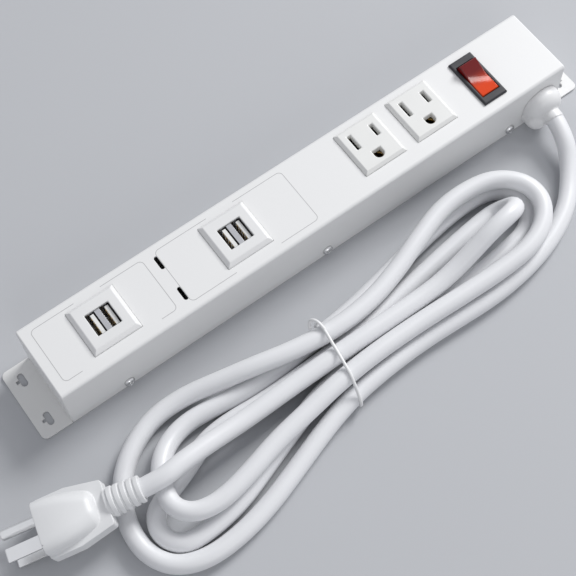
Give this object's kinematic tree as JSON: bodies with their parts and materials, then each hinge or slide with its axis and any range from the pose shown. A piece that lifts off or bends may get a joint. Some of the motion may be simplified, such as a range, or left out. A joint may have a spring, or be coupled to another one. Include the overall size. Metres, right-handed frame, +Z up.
{
  "type": "power strip",
  "caption": "Slim metal-cased power strip with outlets, USB ports, a lit rocker switch, slotted mounting ears and a tied corded plug.",
  "frame": {"origin": "middle of the casing's underside, on the surface it lies on", "axes": "+X along the casing towards the switch and cord end, +Y to the back, away from the cord, +Z up through the outlets"},
  "size_m": [0.3742, 0.1412, 0.0381],
  "materials": {
    "case_paint": "satin powder coat",
    "base_paint": "satin",
    "screw_chrome": "polished",
    "outlet_plastic": "moulded, slightly glossy",
    "usb_plastic": "moulded, slightly glossy",
    "usb_steel": "plated",
    "tongue_plastic": "moulded",
    "contact_brass": "stamped",
    "circuit_board": "solder mask",
    "tray_plastic": "moulded",
    "ferrite": "matt",
    "can_aluminium": "drawn",
    "switch_plastic": "fine textured",
    "rocker_plastic": "clear red, polished",
    "lamp_glass": "clear",
    "wire_black": "extruded",
    "wire_white": "extruded",
    "wire_green": "extruded",
    "gland_plastic": "moulded",
    "cord_jacket": "extruded vinyl",
    "tie_plastic": "smooth",
    "plug_rubber": "moulded vinyl",
    "blade_nickel": "nickel plated"
  },
  "bodies": {
    "casing": {"base_plate": "base_paint", "contact_tray": "tray_plastic", "cord_hank": "cord_jacket", "cord_lead": "cord_jacket", "cord_tail": "cord_jacket", "cord_tie": "tie_plastic", "ground_bus": "contact_brass", "ground_lug": "contact_brass", "ground_screw": "screw_chrome", "ground_wires": "wire_green", "hot_bus": "contact_brass", "hot_wires": "wire_black", "neutral_bus": "contact_brass", "neutral_wire": "wire_white", "outlet_1_face": "outlet_plastic", "outlet_2_face": "outlet_plastic", "plug_body": "plug_rubber", "plug_ground_pin": "blade_nickel", "plug_hot_blade": "blade_nickel", "plug_neutral_blade": "blade_nickel", "side_screws": "screw_chrome", "strain_relief": "gland_plastic", "switch_housing": "switch_plastic", "switch_terminals": "contact_brass", "top_cover": "case_paint", "usb_1_bezel": "usb_plastic", "usb_1_board": "circuit_board", "usb_1_capacitors": "can_aluminium", "usb_1_contacts": "contact_brass", "usb_1_shell": "usb_steel", "usb_1_tongues": "tongue_plastic", "usb_1_transformer": "ferrite", "usb_1_tray": "tray_plastic", "usb_2_bezel": "usb_plastic", "usb_2_board": "circuit_board", "usb_2_capacitors": "can_aluminium", "usb_2_contacts": "contact_brass", "usb_2_shell": "usb_steel", "usb_2_tongues": "tongue_plastic", "usb_2_transformer": "ferrite", "usb_2_tray": "tray_plastic", "usb_feed_wires": "wire_black"},
    "rocker": {"switch_rocker": "rocker_plastic", "switch_plunger": "tongue_plastic", "switch_spring": "usb_steel", "switch_lamp": "lamp_glass"},
    "bridge": {"switch_bridge": "contact_brass"}
  },
  "joints": [
    {"name": "rocker_press", "type": "hinge", "parent": "casing", "child": "rocker", "pos_m": [0.1095, 0.0002, 0.0322], "axis": [-1, 0, 0], "range_deg": [0, 22]},
    {"name": "bridge_tip", "type": "hinge", "parent": "casing", "child": "bridge", "pos_m": [0.1095, 0.0002, 0.0219], "axis": [1, 0, 0], "range_deg": [0, 14]}
  ],
  "couplings": [
    {"joint": "bridge_tip", "follows": "rocker_press", "ratio": 0.636}
  ]
}
